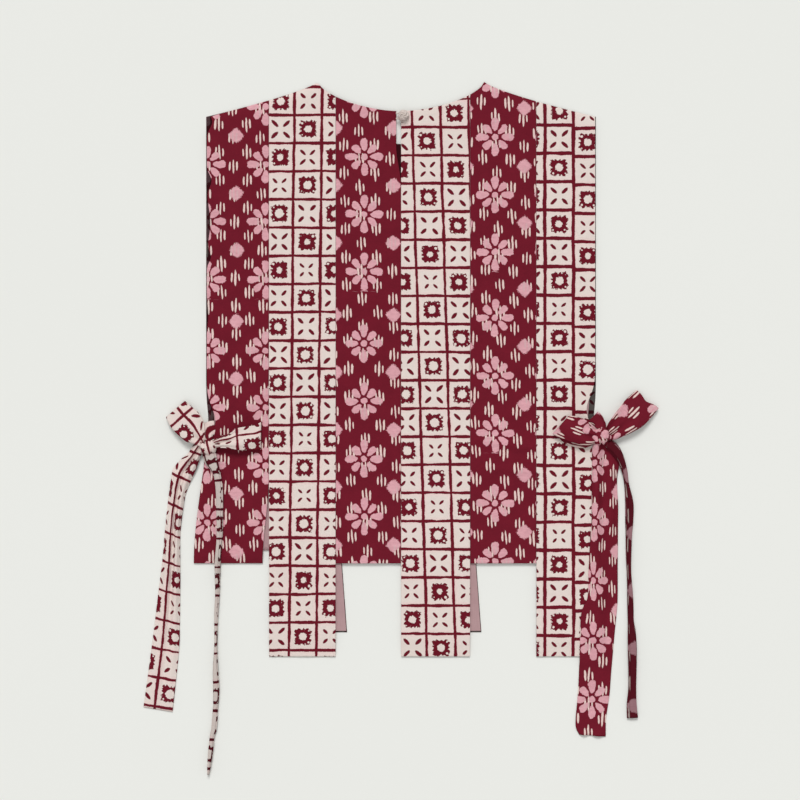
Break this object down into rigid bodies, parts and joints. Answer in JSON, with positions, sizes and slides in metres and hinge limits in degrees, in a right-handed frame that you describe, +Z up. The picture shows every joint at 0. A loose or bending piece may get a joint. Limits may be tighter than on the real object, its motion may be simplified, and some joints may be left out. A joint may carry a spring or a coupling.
{
  "type": "sleeveless patchwork blouse with side ties",
  "caption": "Sleeveless blouse of hanging patchwork strips in two batik prints, laid flat back up, with a buttoned neck slit and a bow tied at each open side.",
  "frame": {"origin": "bottom centre of the bounding box, on the surface that the blouse lies on", "axes": "+Z up from the surface through the front panel to the back panel, +Y towards the neck, +X to the right as the back is seen from above"},
  "size_m": [0.662, 0.893, 0.0182],
  "materials": {
    "maroon_print": "matte",
    "cream_print": "matte",
    "rose_lining": "matte"
  },
  "bodies": {
    "root": {"back_strip_1": "maroon_print", "back_strip_2": "cream_print", "back_strip_3": "maroon_print", "back_strip_4": "cream_print", "back_strip_5": "maroon_print", "back_strip_6": "cream_print", "front_strip_1": "maroon_print", "front_strip_2": "cream_print", "front_strip_3": "maroon_print", "front_strip_4": "cream_print", "front_strip_5": "maroon_print", "front_strip_6": "cream_print", "back_lining": "rose_lining", "front_lining": "rose_lining", "left_tie_root_back": "cream_print", "left_tie_root_front": "cream_print", "left_bow_knot": "cream_print", "left_bow_loop_outer": "cream_print", "left_bow_loop_inner": "cream_print", "left_tail_wide": "cream_print", "left_tail_narrow": "cream_print", "right_tie_root_back": "maroon_print", "right_tie_root_front": "maroon_print", "right_bow_knot": "maroon_print", "right_bow_loop_outer": "maroon_print", "right_bow_loop_inner": "maroon_print", "right_tail_wide": "maroon_print", "right_tail_narrow": "maroon_print", "neck_button": "cream_print", "neck_button_loop": "cream_print"}
  },
  "joints": []
}
